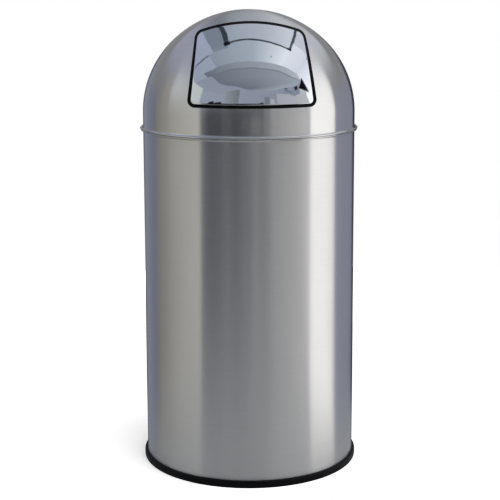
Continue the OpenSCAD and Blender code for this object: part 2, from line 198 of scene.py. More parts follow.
# Brushed stainless steel: 304 sheet finished with a 240 grit belt. The grit's lines are about
# 0.1 mm apart, and are drawn 1 mm apart and 90 mm long here so that they show at all. What the
# steel mirrors is smeared across them. The spun dome is brushed a little finer than the drum,
# so its streaks are sharper.
STEEL_TONE = "#CDCCCA"
GRIT_LINE = 0.001
GRIT_LENGTH = 0.09
DOME_FINISH = 0.75
SEAM_EDGE = 0.00105
brushed, face = material("brushed stainless steel", STEEL_TONE, 1.0, 0.30)
face.inputs["Anisotropic"].default_value = 1.0
face.inputs["Anisotropic Rotation"].default_value = 0.25
place = add(brushed, "TexCoord").outputs["Object"]
split = add(brushed, "SeparateXYZ", {0: place})
back_y = add(brushed, "Math", {0: split.outputs["Y"], 1: -1.0}, operation="MULTIPLY")
turn = add(brushed, "Math", {0: split.outputs["X"], 1: back_y.outputs[0]}, operation="ARCTAN2")
flat = add(brushed, "CombineXYZ", {"X": split.outputs["X"], "Y": split.outputs["Y"]})
radius = add(brushed, "VectorMath", {0: flat.outputs[0]}, operation="LENGTH")
climb = add(brushed, "Math", {0: split.outputs["Z"], 1: radius.outputs["Value"]},
            operation="SUBTRACT")
lengthwise = add(brushed, "Math", {0: turn.outputs[0], 1: BODY_R / GRIT_LENGTH},
                 operation="MULTIPLY")
crosswise = add(brushed, "Math", {0: climb.outputs[0], 1: 1 / GRIT_LINE}, operation="MULTIPLY")
lines_at = add(brushed, "CombineXYZ", {"X": lengthwise.outputs[0], "Y": crosswise.outputs[0]})
lines = add(brushed, "TexNoise", {"Vector": lines_at.outputs[0], "Scale": 1.0, "Detail": 3.0,
                                  "Roughness": 0.6})
patches = add(brushed, "TexNoise", {"Vector": place, "Scale": 9.0, "Detail": 2.0})
tone = add(brushed, "MapRange", {"Value": lines.outputs[0], "From Min": 0.3, "From Max": 0.7,
                                 "To Min": 0.965, "To Max": 1.02})
# The seam up the drum's back, ground flush: a duller line about 3 mm wide.
seam = add(brushed, "Math", {0: turn.outputs[0]}, operation="ABSOLUTE")
seam_mask = add(brushed, "MapRange", {"Value": seam.outputs[0],
                                      "From Min": pi - 2 * SEAM_EDGE / BODY_R,
                                      "From Max": pi - SEAM_EDGE / BODY_R,
                                      "To Min": 1.0, "To Max": 0.82})
below = add(brushed, "Math", {0: split.outputs["Z"], 1: JOINT_Z}, operation="LESS_THAN")
seam_tone = add(brushed, "Mix", {0: below.outputs[0], 2: 1.0, 3: seam_mask.outputs[0]})
shade = add(brushed, "Math", {0: tone.outputs[0], 1: seam_tone.outputs[0]}, operation="MULTIPLY")
colour = add(brushed, "VectorMath", {0: linear(STEEL_TONE)[:3], "Scale": shade.outputs[0]},
             operation="SCALE")
link(brushed, colour.outputs[0], face, "Base Color")
grain = add(brushed, "Math", {0: lines.outputs[0], 1: patches.outputs[0]}, operation="ADD")
rough = add(brushed, "MapRange", {"Value": grain.outputs[0], "From Min": 0.6, "From Max": 1.4,
                                  "To Min": 0.27, "To Max": 0.33})
finish = add(brushed, "MapRange", {"Value": below.outputs[0], "To Min": DOME_FINISH,
                                   "To Max": 1.0})
rough = add(brushed, "Math", {0: rough.outputs[0], 1: finish.outputs[0]}, operation="MULTIPLY")
link(brushed, rough.outputs[0], face, "Roughness")
bump = add(brushed, "Bump", {"Height": lines.outputs[0], "Strength": 0.06, "Distance": 0.0001})
link(brushed, bump.outputs[0], face, "Normal")
around = add(brushed, "VectorMath", {0: (0, 0, 1), 1: place}, operation="CROSS_PRODUCT")
tangent = add(brushed, "VectorMath", {0: around.outputs[0]}, operation="NORMALIZE")
link(brushed, tangent.outputs[0], face, "Tangent")

wall_h = JOINT_Z - FOOT_FLOOR
wall_drops = [wall_h * k / WALL_RINGS for k in range(WALL_RINGS, 0, -1)]
wall = (
    [(BODY_R, drop) for drop in wall_drops if drop > BODY_FLARE_H]
    + lip_section(BODY_LIP_OUT, BODY_FLARE_H, BODY_CURL_R)
    + [(BODY_R - SHEET, wall_h)]
)
drum = turned("outer_body", [(r, JOINT_Z - drop) for r, drop in wall])
dress(drum, brushed)
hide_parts("body_shell")
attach(drum, "bin_body")

# ---------------------------------------------------------------------------------------------
# Foot ring. Moulded black rubber of U section, pushed up over the drum's lower edge. Its outer
# corners are well rounded, and the base plate rests on its inner side.
# ---------------------------------------------------------------------------------------------
RING_OUT = 0.0048
RING_H = 0.011
RING_ROUND = 0.0026
RING_LIP = 0.002
RING_CHAMFER = 0.0004
RING_STEPS = 8
PLATE_UNDER = 0.009

# Black moulded rubber: nearly no sheen, with dust in the skin that greys it in patches and
# breaks up what little it mirrors. Its grain is drawn about 1 mm across so that it shows.
rubber, face = material("black moulded rubber", "#070708", 0.0, 0.5)
face.inputs["Specular IOR Level"].default_value = 0.12
place = add(rubber, "TexCoord").outputs["Object"]
dust = add(rubber, "TexNoise", {"Vector": place, "Scale": 60.0, "Detail": 5.0, "Roughness": 0.65})
greys = add(rubber, "ValToRGB", {0: dust.outputs[0]})
greys.color_ramp.elements[0].position = 0.35
greys.color_ramp.elements[0].color = linear("#040405")
greys.color_ramp.elements[1].position = 0.8
greys.color_ramp.elements[1].color = linear("#0B0B0D")
link(rubber, greys.outputs[0], face, "Base Color")
rough = add(rubber, "MapRange", {"Value": dust.outputs[0], "To Min": 0.38, "To Max": 0.6})
link(rubber, rough.outputs[0], face, "Roughness")
skin = add(rubber, "TexNoise", {"Vector": place, "Scale": 900.0, "Detail": 2.0})
bump = add(rubber, "Bump", {"Height": skin.outputs[0], "Strength": 0.15, "Distance": 0.0002})
link(rubber, bump.outputs[0], face, "Normal")

inner_r = BODY_R - SHEET
out_r = BODY_R + RING_OUT
ring_section = (
    [(inner_r - RING_LIP, RING_CHAMFER), (inner_r - RING_LIP + RING_CHAMFER, 0)]
    + arc(out_r - RING_ROUND, RING_ROUND, RING_ROUND, -90, 0, RING_STEPS)
    + arc(out_r - RING_ROUND, RING_H - RING_ROUND, RING_ROUND, 0, 90, RING_STEPS)
    + [(BODY_R, RING_H), (BODY_R, FOOT_FLOOR), (inner_r, FOOT_FLOOR), (inner_r, PLATE_UNDER),
       (inner_r - RING_LIP, PLATE_UNDER)]
)
foot = turned("foot_ring", ring_section)
dress(foot, rubber)
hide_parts("base_ring")
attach(foot, "bin_body")

# ---------------------------------------------------------------------------------------------
# Base plate. A disc of 1 mm galvanised sheet, spot welded inside the drum. Two shallow rings
# pressed down in it make it stiff.
# ---------------------------------------------------------------------------------------------
PLATE_TOP = 0.010
PLATE_T = 0.001
PLATE_RINGS = (0.135, 0.07)
PLATE_PRESS = 0.0035
SWAGE_W = 0.012
SWAGE_STEPS = 8
SPANGLE = 0.009

# Galvanised steel: hot dipped sheet. The zinc sets in spangles about 9 mm across, each a dull
# grey of its own, so the face looks patchy and mirrors only soft shapes.
zinc, face = material("galvanised steel", "#A5AAAC", 1.0, 0.42)
place = add(zinc, "TexCoord").outputs["Object"]
cells = add(zinc, "TexVoronoi", {"Vector": place, "Scale": 1 / SPANGLE, "Randomness": 1.0})
hue = add(zinc, "SeparateXYZ", {0: cells.outputs["Color"]})
cloud = add(zinc, "TexNoise", {"Vector": place, "Scale": 25.0, "Detail": 4.0})
blend = add(zinc, "Mix", {0: 0.45, 2: hue.outputs[0], 3: cloud.outputs[0]})
greys = add(zinc, "ValToRGB", {0: blend.outputs[0]})
greys.color_ramp.elements[0].position = 0.15
greys.color_ramp.elements[0].color = linear("#8C9194")
greys.color_ramp.elements[1].position = 0.85
greys.color_ramp.elements[1].color = linear("#BCC0C1")
link(zinc, greys.outputs[0], face, "Base Color")
rough = add(zinc, "MapRange", {"Value": blend.outputs[0], "To Min": 0.34, "To Max": 0.52})
link(zinc, rough.outputs[0], face, "Roughness")
bump = add(zinc, "Bump", {"Height": cells.outputs["Distance"], "Strength": 0.12,
                          "Distance": 0.0003})
link(zinc, bump.outputs[0], face, "Normal")


def swage(r, z, depth):
    """A shallow pressed ring across a flat disc, from its outer side to its inner side."""
    bends = [pi * i / SWAGE_STEPS for i in range(SWAGE_STEPS + 1)]
    return [(r + SWAGE_W / 2 * cos(a), z - depth * sin(a)) for a in bends]


def pressed_disc(top, t, edge, rings, depth):
    """A disc's section with rings pressed down in it, from the middle of its top face round its
    edge to the middle of its underside."""
    upper, lower = [], []
    for r in rings:
        upper += swage(r, top, depth)
        lower += swage(r, top - t, depth)
    rim = [(edge, top), (edge, top - t)]
    return [(0, top)] + list(reversed(upper)) + rim + lower + [(0, top - t)]


plate_section = pressed_disc(PLATE_TOP, PLATE_T, inner_r, PLATE_RINGS, PLATE_PRESS)
plate = turned("base_plate_pressed", plate_section, steps=192, closed=False)
dress(plate, zinc)
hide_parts("base_plate")
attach(plate, "bin_body")

# ---------------------------------------------------------------------------------------------
# Dome. Spun from 0.8 mm stainless sheet: a short straight skirt, a shoulder, a flatter crown
# and a flared, rolled lip that stands just off the drum's lip. The flap's opening is cut out
# of its front, and it is brushed round the axis as the drum is.
# ---------------------------------------------------------------------------------------------
DOME_Z0 = 0.5613
# The shoulder starts at the equator, and the crown takes over from it BLEND degrees up.
EQUATOR_Z = 0.588
SHOULDER_X = 0.0135
BLEND = 45
DOME_LIP_OUT = 0.005
DOME_FLARE_H = 0.0055
DOME_CURL_R = 0.0012
SHOULDER_R = BODY_R - SHOULDER_X
CROWN_R = SHOULDER_R + SHOULDER_X / cos(radians(BLEND))
CROWN_Z = EQUATOR_Z - SHOULDER_X * tan(radians(BLEND))
TOP_Z = CROWN_Z + CROWN_R
# The opening has a level sill, sides that lean in by SIDE_LEAN degrees and an arched top.
OPEN_OVER_JOINT = 0.047
OPEN_UNDER_TOP = 0.017
OPEN_Z0 = JOINT_Z + OPEN_OVER_JOINT
OPEN_Z1 = TOP_Z - OPEN_UNDER_TOP
OPEN_W = 0.204
SIDE_LEAN = 7.5
ARCH_R = 0.235
LOW_CORNER = 0.011
HIGH_CORNER = 0.017
CURVE_STEPS = 40
CORNER_STEPS = 18
ARCH_STEPS = 36
SIDE_STEPS = 42
CUT_REACH = 0.3


def dome_curve(depth):
    """The dome's section at a depth below its face, from the equator to the top."""
    low = arc(SHOULDER_X, EQUATOR_Z, SHOULDER_R - depth, 0, BLEND, CURVE_STEPS)
    high = arc(0, CROWN_Z, CROWN_R - depth, BLEND, 90, CURVE_STEPS)
    high[-1] = (0, high[-1][1])
    return low + high[1:]


def along(a, b, n):
    """Points from a towards b in n steps, without b."""
    return [(a[0] + (b[0] - a[0]) * i / n, a[1] + (b[1] - a[1]) * i / n) for i in range(n)]


def opening_outline(inset):
    """The opening's outline in x and z, drawn in by inset, from the bottom middle round."""
    lean = radians(SIDE_LEAN)
    low_r, high_r, top_r = LOW_CORNER - inset, HIGH_CORNER - inset, ARCH_R - inset
    top_c = Vector((0, OPEN_Z1 - ARCH_R))
    low_c = Vector((OPEN_W / 2 - LOW_CORNER * (1 + sin(lean)) / cos(lean), OPEN_Z0 + LOW_CORNER))
    start = low_c - (high_r - low_r) * Vector((cos(lean), sin(lean))) - top_c
    way = Vector((-sin(lean), cos(lean)))
    b = start.dot(way)
    high_c = top_c + start + way * (sqrt(b * b - start.dot(start) + (top_r - high_r) ** 2) - b)
    rise = degrees(atan2(high_c.y - top_c.y, high_c.x))
    low = arc(low_c.x, low_c.y, low_r, -90, SIDE_LEAN, CORNER_STEPS)
    high = arc(high_c.x, high_c.y, high_r, SIDE_LEAN, rise, CORNER_STEPS)
    top = arc(top_c.x, top_c.y, top_r, rise, 90, ARCH_STEPS)[1:]
    sill = along((0, low[0][1]), low[0], SIDE_STEPS)
    side = along(low[-1], high[0], SIDE_STEPS)
    half = sill + low[:-1] + side + high + top
    return half + [(-x, z) for x, z in reversed(half[1:-1])]


dome_section = (
    list(reversed(dome_curve(0)))
    + [(r, DOME_Z0 + h) for r, h in lip_section(DOME_LIP_OUT, DOME_FLARE_H, DOME_CURL_R)]
    + dome_curve(SHEET)
)
dome = turned("dome", dome_section, steps=320, closed=False)

cutter = line_piece("opening_cutter", [(x, -CUT_REACH, z) for x, z in opening_outline(0)])
bpy.ops.mesh.select_all(action="SELECT")
bpy.ops.mesh.edge_face_add()
bpy.ops.mesh.extrude_region_move(TRANSFORM_OT_translate={"value": (0, CUT_REACH, 0)})
face_outwards()


def apply_to(piece, kind, **settings):
    """Adds a modifier with its settings and applies it."""
    pick(piece)
    mod = piece.modifiers.new(kind.title(), kind)
    for key, value in settings.items():
        setattr(mod, key, value)
    bpy.ops.object.modifier_apply(modifier=mod.name)


apply_to(dome, "BOOLEAN", operation="DIFFERENCE", solver="EXACT", object=cutter)
bpy.data.objects.remove(cutter)
smooth(dome, angle=30)
dress(dome, brushed)
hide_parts("dome_shell")
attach(dome, "dome")

# ---------------------------------------------------------------------------------------------
# Collar and hinge brackets. Pressed galvanised sheet, spot welded inside the dome. The collar
# drops into the drum and keeps the dome in place, and the brackets carry the flap's rod.
# ---------------------------------------------------------------------------------------------
for node in ("dome_collar", "left_hinge_bracket", "right_hinge_bracket"):
    dress(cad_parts[node], zinc)

# ---------------------------------------------------------------------------------------------
# Hinge rod and clips. The rod is cut from drawn 6 mm steel bar, and turns in the flap's bushes.
# The clips at its ends are stamped from spring steel and pushed on.
# ---------------------------------------------------------------------------------------------

# Bright drawn steel: the die leaves fine lines along the bar, which roughen what it mirrors.
# They are drawn under 1 mm apart and some 16 mm long so that they show.
bright, face = material("bright drawn steel", "#B9BABB", 1.0, 0.24)
place = add(bright, "TexCoord").outputs["Object"]
drawn = add(bright, "Mapping", {"Vector": place, "Scale": (60, 1500, 1500)})
scratch = add(bright, "TexNoise", {"Vector": drawn.outputs[0], "Scale": 1.0, "Detail": 3.0})
rough = add(bright, "MapRange", {"Value": scratch.outputs[0], "To Min": 0.16, "To Max": 0.34})
link(bright, rough.outputs[0], face, "Roughness")
bump = add(bright, "Bump", {"Height": scratch.outputs[0], "Strength": 0.08, "Distance": 0.0001})
link(bright, bump.outputs[0], face, "Normal")

# Oiled spring steel: tempered to a dark blue grey, under an oil film that clouds it in patches
# of about 5 mm.
blued, face = material("oiled spring steel", "#5A5C62", 1.0, 0.3)
place = add(blued, "TexCoord").outputs["Object"]
film = add(blued, "TexNoise", {"Vector": place, "Scale": 220.0, "Detail": 4.0})
greys = add(blued, "ValToRGB", {0: film.outputs[0]})
greys.color_ramp.elements[0].position = 0.3
greys.color_ramp.elements[0].color = linear("#43464C")
greys.color_ramp.elements[1].position = 0.75
greys.color_ramp.elements[1].color = linear("#75767A")
link(blued, greys.outputs[0], face, "Base Color")
rough = add(blued, "MapRange", {"Value": film.outputs[0], "To Min": 0.22, "To Max": 0.4})
link(blued, rough.outputs[0], face, "Roughness")

dress(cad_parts["hinge_rod"], bright)
dress(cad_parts["rod_clips"], blued)

# ---------------------------------------------------------------------------------------------
# Return springs. Two torsion springs of 1.6 mm music wire on the rod, wound as a left and
# right pair. One leg bears behind the flap and the other under the crown.
# ---------------------------------------------------------------------------------------------
WIRE_R = 0.0008
COIL_R = 0.0053
COIL_PITCH = 0.0022
COIL_TURNS = 5 - 1 / 6
COIL_STEPS = 120
COIL_X0 = 0.0490
FLAP_RECESS = 0.0012
FLAP_T = 0.0008
SEAT_GAP = 0.0003
# The hinge lies this deep under the crown's face, and this many degrees behind the top of the
# opening.
HINGE_DEPTH = 0.026
HINGE_BACK = 1.4
HINGE_A = radians(degrees(acos((OPEN_Z1 - CROWN_Z) / CROWN_R)) - HINGE_BACK)
HINGE_Y = -(CROWN_R - HINGE_DEPTH) * sin(HINGE_A)
HINGE_Z = CROWN_Z + (CROWN_R - HINGE_DEPTH) * cos(HINGE_A)


def to_crown(p, way, x, depth):
    """Where a leg at x, from p along the unit direction way, meets the underside of a sheet
    that lies at a depth below the crown's face."""
    r = sqrt((CROWN_R - depth - SEAT_GAP - WIRE_R) ** 2 - x * x)
    c = Vector((0, CROWN_Z))
    s = p - c
    b = s.dot(way)
    return p + way * (sqrt(b * b - s.dot(s) + r * r) - b)


def spring(name, side, node):
    """One spring with its two legs, on the right for side 1 and mirrored for side -1."""
    turns = radians(360 * COIL_TURNS)
    first, last = radians(90), radians(90) - turns
    mid = Vector((HINGE_Y, HINGE_Z))
    coil = []
    for i in range(COIL_STEPS + 1):
        a = first - turns * i / COIL_STEPS
        coil.append((COIL_X0 + COIL_PITCH * COIL_TURNS * i / COIL_STEPS,
                     mid.x + COIL_R * cos(a), mid.y + COIL_R * sin(a)))
    x1 = coil[-1][0]
    low = to_crown(Vector(coil[0][1:]), Vector((-1, 0)), COIL_X0, FLAP_RECESS + FLAP_T)
    high = to_crown(Vector(coil[-1][1:]), Vector((sin(last), -cos(last))), x1, SHEET)
    path = [(COIL_X0, low.x, low.y)] + coil + [(x1, high.x, high.y)]
    wire = bpy.data.curves.new(name, "CURVE")
    wire.dimensions = "3D"
    strand = wire.splines.new("POLY")
    strand.points.add(len(path) - 1)
    for point, p in zip(strand.points, path):
        point.co = (side * p[0], p[1], p[2], 1)
    wire.bevel_depth = WIRE_R
    wire.bevel_resolution = 3
    wire.use_fill_caps = True
    piece = bpy.data.objects.new(name, wire)
    bpy.context.scene.collection.objects.link(piece)
    pick(piece)
    bpy.ops.object.convert(target="MESH")
    face_outwards()
    smooth(piece, angle=50)
    dress(piece, blued)
    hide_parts(node)
    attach(piece, "dome")


spring("left_torsion_spring", -1, "left_spring")
spring("right_torsion_spring", 1, "right_spring")

# ---------------------------------------------------------------------------------------------
# Flap. Pressed from 0.8 mm stainless sheet to the dome's own curve, its edge rolled back into
# a flange, and buffed. It sits 1.2 mm below the dome's face inside a black gasket, with a gap
# round it that is a little wider at the bottom.
# ---------------------------------------------------------------------------------------------
GAP_TOP, GAP_LOW = 0.0025, 0.0044
FLANGE_DEPTHS = (0.010, 0.0075, 0.005)
FLANGE_DROP = 0.016
EDGE_ROLL = 0.0022
ROLL_STEPS = 6
FACE_RINGS = 40
GUESS_Y = -0.1
GUESSES = 30
TINY = 1e-9

# Buffed stainless steel: polished on a cloth wheel to a mirror. The wheel leaves soft waves
# about 50 mm across that bend what it mirrors, and a faint smear that dulls it in places.
mirror, face = material("buffed stainless steel", "#D3D6DA", 1.0, 0.03)
place = add(mirror, "TexCoord").outputs["Object"]
buff = add(mirror, "TexNoise", {"Vector": place, "Scale": 20.0, "Detail": 2.0, "Roughness": 0.4})
smear = add(mirror, "TexNoise", {"Vector": place, "Scale": 45.0, "Detail": 4.0,
                                 "Distortion": 0.6})
rough = add(mirror, "MapRange", {"Value": smear.outputs[0], "From Min": 0.35, "From Max": 0.75,
                                 "To Min": 0.04, "To Max": 0.07})
link(mirror, rough.outputs[0], face, "Roughness")
bump = add(mirror, "Bump", {"Height": buff.outputs[0], "Strength": 0.5, "Distance": 0.0014})
link(mirror, bump.outputs[0], face, "Normal")


def on_dome(x, z, depth):
    """The point at x and z on the front of a dome that lies a depth below the real one's face."""
    y = GUESS_Y
    for _ in range(GUESSES):
        r = hypot(x, y)
        if z - EQUATOR_Z > (r - SHOULDER_X) * tan(radians(BLEND)):
            want = sqrt(max((CROWN_R - depth) ** 2 - (z - CROWN_Z) ** 2, TINY))
        else:
            want = SHOULDER_X + sqrt((SHOULDER_R - depth) ** 2 - (z - EQUATOR_Z) ** 2)
        y = -sqrt(max(want * want - x * x, TINY))
    return (x, y, z)


def ringed_sheet(name, rings):
    """A skin over closed rings of equal counts, the last closed round its own middle."""
    count = len(rings[0])
    points = [p for ring in rings for p in ring]
    faces = []
    for k in range(len(rings) - 1):
        here, there = k * count, (k + 1) * count
        for i in range(count):
            j = (i + 1) % count
            faces.append((here + i, here + j, there + j, there + i))
    last = (len(rings) - 1) * count
    mid = Vector((0, 0, 0))
    for p in rings[-1]:
        mid += Vector(p) / count
    points.append(on_dome(mid.x, mid.z, FLAP_RECESS))
    for i in range(count):
        faces.append((last + i, last + (i + 1) % count, len(points) - 1))
    mesh = bpy.data.meshes.new(name)
    mesh.from_pydata(points, [], faces)
    piece = bpy.data.objects.new(name, mesh)
    bpy.context.scene.collection.objects.link(piece)
    return piece


def flap_outline(inset):
    """The opening's outline drawn in by the flap's gap, which widens downwards, and by inset."""
    out = []
    for high, low in zip(opening_outline(GAP_TOP + inset), opening_outline(GAP_LOW + inset)):
        share = min(max((OPEN_Z1 - high[1]) / (OPEN_Z1 - OPEN_Z0), 0), 1)
        out.append((high[0] + (low[0] - high[0]) * share, high[1] + (low[1] - high[1]) * share))
    return out


# The flange, then the rolled edge, then the face, ring by ring towards the middle.
rings = []
for depth in FLANGE_DEPTHS:
    rings.append([on_dome(x, z, FLAP_RECESS + depth) for x, z in flap_outline(0)])
for i in range(ROLL_STEPS + 1):
    a = radians(90 * i / ROLL_STEPS)
    rings.append([on_dome(x, z, FLAP_RECESS + EDGE_ROLL * (1 - sin(a)))
                  for x, z in flap_outline(EDGE_ROLL * (1 - cos(a)))])
border = flap_outline(EDGE_ROLL)
mid_z = (OPEN_Z0 + OPEN_Z1) / 2
for i in range(1, FACE_RINGS):
    k = 1 - i / FACE_RINGS
    rings.append([on_dome(x * k, mid_z + (z - mid_z) * k, FLAP_RECESS) for x, z in border])
flap = ringed_sheet("flap", rings)
pick(flap)
face_outwards()
# The flange runs along the sides and the bottom, and stops short of the hinge.
flange_points = (len(FLANGE_DEPTHS) + 1) * len(border)
skin = bmesh.new()
skin.from_mesh(flap.data)
top_faces = [f for f in skin.faces
             if f.calc_center_median().z > HINGE_Z - FLANGE_DROP
             and all(v.index < flange_points for v in f.verts)]
bmesh.ops.delete(skin, geom=top_faces, context="FACES")
if sum(f.normal.y for f in skin.faces) > 0:
    bmesh.ops.reverse_faces(skin, faces=skin.faces)
skin.to_mesh(flap.data)
skin.free()
apply_to(flap, "SOLIDIFY", thickness=FLAP_T, offset=-1.0, use_even_offset=True)
smooth(flap, angle=40)
dress(flap, mirror)
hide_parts("flap_panel")
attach(flap, "flap")

# ---------------------------------------------------------------------------------------------
# Flap gasket, lugs and bushes. The gasket is an extruded rubber strip gripped round the flap's
# flange, the lugs are galvanised plates welded behind the flap, and the bushes are nylon.
# ---------------------------------------------------------------------------------------------

# Natural nylon: moulded, milky and a little see-through, so its edges look soft and warm.
nylon, face = material("natural nylon", "#DDD7C6", 0.0, 0.42)
face.inputs["Subsurface Weight"].default_value = 0.15
face.inputs["Subsurface Radius"].default_value = (0.002, 0.0018, 0.0014)
place = add(nylon, "TexCoord").outputs["Object"]
milk = add(nylon, "TexNoise", {"Vector": place, "Scale": 300.0, "Detail": 3.0})
greys = add(nylon, "ValToRGB", {0: milk.outputs[0]})
greys.color_ramp.elements[0].color = linear("#CFC8B4")
greys.color_ramp.elements[1].color = linear("#E6E1D3")
link(nylon, greys.outputs[0], face, "Base Color")
bump = add(nylon, "Bump", {"Height": milk.outputs[0], "Strength": 0.1, "Distance": 0.0001})
link(nylon, bump.outputs[0], face, "Normal")

dress(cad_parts["flap_gasket"], rubber)
for node in ("left_flap_lug", "right_flap_lug"):
    dress(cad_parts[node], zinc)
for node in ("left_bush", "right_bush"):
    dress(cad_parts[node], nylon)

# ---------------------------------------------------------------------------------------------
# Inner bucket. Rolled from 0.6 mm galvanised sheet with a rolled rim and two swaged beads that
# stand out from its wall, and a bottom set up inside it on a turned-down edge.
# ---------------------------------------------------------------------------------------------
BUCKET_R = 0.160
BUCKET_T = 0.0006
BUCKET_Z0 = 0.0103
BUCKET_H = 0.533
RIM_R = 0.003
BEAD_R = 0.002
BEAD_IN_R = BEAD_R * 0.9
BEAD_DROPS = (0.070, 0.350)
BEAD_STEPS = 10
RIM_STEPS = 28
BOTTOM_RISE = 0.006
BOTTOM_RINGS = (0.12, 0.06)
BOTTOM_PRESS = 0.003
bucket_z1 = BUCKET_Z0 + BUCKET_H
in_r = BUCKET_R - BUCKET_T

outer = [(BUCKET_R, BUCKET_Z0)]
inner = [(in_r, BUCKET_Z0)]
for drop in sorted(BEAD_DROPS, reverse=True):
    z = bucket_z1 - drop
    outer += arc(BUCKET_R, z, BEAD_R, -90, 90, BEAD_STEPS)
    inner += arc(in_r, z, BEAD_IN_R, -90, 90, BEAD_STEPS)
rim_foot = degrees(acos((RIM_R - BUCKET_T) / RIM_R))
rim = arc(in_r + RIM_R, bucket_z1 - RIM_R, RIM_R, -180 + rim_foot, 180, RIM_STEPS)
bucket = turned("bucket", outer + rim + list(reversed(inner)))
dress(bucket, zinc)
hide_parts("bucket_wall")
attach(bucket, "bucket")

bottom_top = BUCKET_Z0 + BOTTOM_RISE
bottom_under = bottom_top - BUCKET_T
cup = pressed_disc(bottom_top, BUCKET_T, in_r, BOTTOM_RINGS, BOTTOM_PRESS)
edge = cup.index((in_r, bottom_under))
cup[edge:edge + 1] = [(in_r, BUCKET_Z0), (in_r - BUCKET_T, BUCKET_Z0),
                      (in_r - BUCKET_T, bottom_under)]
bottom = turned("bucket_base", cup, steps=192, closed=False)
dress(bottom, zinc)
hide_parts("bucket_bottom")
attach(bottom, "bucket")

# ---------------------------------------------------------------------------------------------
# Bucket handle. A half ring of 4 mm bright wire that lies on the rim, its ends headed inside
# two galvanised straps that are riveted to the wall.
# ---------------------------------------------------------------------------------------------
for node in ("left_bail_ear", "right_bail_ear"):
    dress(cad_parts[node], zinc)
for node in ("bail_rivets", "bail_handle"):
    dress(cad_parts[node], bright)

# ---------------------------------------------------------------------------------------------
# Studio. The bin stands on a round sheet of white paper in a grey room, with a tall soft light
# to its right. The room is there for what the steel mirrors. The camera doesn't see it, and has
# a plain white background.
# ---------------------------------------------------------------------------------------------
TURN = 2.1
CAMERA_PITCH = 10
CAMERA_ROLL = 0.17

lens = bpy.data.cameras.new("camera")
lens.lens = 96.83
lens.sensor_width = 36
lens.sensor_fit = "HORIZONTAL"
lens.shift_x = 0.0032
lens.shift_y = -0.0693
camera = bpy.data.objects.new("camera", lens)
camera.location = (-0.0815, -2.2237, 0.8047)
camera.rotation_euler = (radians(90 - CAMERA_PITCH), radians(CAMERA_ROLL), -radians(TURN))
bpy.context.scene.collection.objects.link(camera)
bpy.context.scene.camera = camera


def unseen(piece):
    """A stage piece that the camera doesn't see and that casts no shadow."""
    piece.visible_camera = False
    piece.visible_shadow = False


# White paper: matt, its middle a little to the bin's front. The camera sees no more of it than
# the bin's shadow. In the steel it fades out well before its edge, and soonest to the right,
# where the light stands. From below it is clear. The lengths are from the paper's middle.
PAPER_R = 2.0
PAPER_AT = (0.1, -0.5, 0)
FADE_FROM, FADE_TO = 0.45, 0.95
RIGHT_FROM, RIGHT_TO = 0.10, 0.42
EDGE_FROM, EDGE_TO = 1.3, 1.9
paper = blank_material("white paper")
place = add(paper, "TexCoord").outputs["Object"]
reach = add(paper, "VectorMath", {0: place}, operation="LENGTH")
fade = add(paper, "MapRange", {"Value": reach.outputs["Value"], "From Min": FADE_FROM,
                               "From Max": FADE_TO}, interpolation_type="SMOOTHSTEP")
split = add(paper, "SeparateXYZ", {0: place})
right = add(paper, "MapRange", {"Value": split.outputs["X"], "From Min": RIGHT_FROM,
                                "From Max": RIGHT_TO}, interpolation_type="SMOOTHSTEP")
fade = add(paper, "Math", {0: fade.outputs[0], 1: right.outputs[0]}, operation="MAXIMUM")
ray = add(paper, "LightPath")
mirrored = add(paper, "Math", {0: 1.0, 1: ray.outputs["Is Camera Ray"]}, operation="SUBTRACT")
faded = add(paper, "Math", {0: fade.outputs[0], 1: mirrored.outputs[0]}, operation="MULTIPLY")
far = add(paper, "MapRange", {"Value": reach.outputs["Value"], "From Min": EDGE_FROM,
                              "From Max": EDGE_TO})
under = add(paper, "NewGeometry").outputs["Backfacing"]
outside = add(paper, "Math", {0: far.outputs[0], 1: under}, operation="MAXIMUM")
clearness = add(paper, "Math", {0: faded.outputs[0], 1: outside.outputs[0]}, operation="MAXIMUM")
sheet = add(paper, "BsdfDiffuse", {"Color": linear("#BEBEBE")})
clear = add(paper, "BsdfTransparent")
mixed = add(paper, "MixShader", {0: clearness.outputs[0], 1: sheet.outputs[0],
                                 2: clear.outputs[0]})
add(paper, "OutputMaterial", {"Surface": mixed.outputs[0]})
clear_selection()
bpy.ops.mesh.primitive_circle_add(vertices=128, radius=PAPER_R, fill_type="NGON",
                                  location=PAPER_AT)
floor = bpy.context.object
floor.name = "paper_floor"
dress(floor, paper)
floor.is_shadow_catcher = True

# The room's round wall, in a low and a high ring that glow. Each stretch says where it starts
# and ends, in degrees to the right of the camera as the bin sees it, how bright it is at both
# ends, and its tint.
ROOM_R = 4.6
ROOM_SIDES = 96
CEILING_Z = 2.7
SPLIT_Z = 1.25
DEEP_Z = -2.5
LOW_WALLS = [
    (-180, -168, 0.50, 0.46, "#D6DAE8"),
    (-168, -156, 0.22, 0.22, "#C4CBE6"),
    (-156, -118, 0.48, 0.34, "#CDD6EE"),
    (-118, -53, 0.28, 0.68, "#FFFDF4"),
    (-51, -38, 0.10, 0.09, "#F2F0FF"),
    (-36, -29, 0.07, 0.07, "#FAFAFF"),
    (-28, -19, 0.14, 0.14, "#FAFAFF"),
    (-17, -8, 0.055, 0.055, "#FAFAFF"),
    (-6, 2, 0.18, 0.22, "#F6F6FF"),
    (4, 13, 0.46, 0.42, "#FFFFFF"),
    (14, 21, 0.25, 0.26, "#FFFFFF"),
    (23, 63, 0.40, 0.76, "#FFFFFF"),
    (64, 104, 0.66, 0.56, "#E8EAFA"),
    (106, 150, 0.60, 0.46, "#CDD2EA"),
    (152, 170, 0.12, 0.12, "#9095B0"),
    (172, 180, 0.46, 0.50, "#D6DAE8"),
]
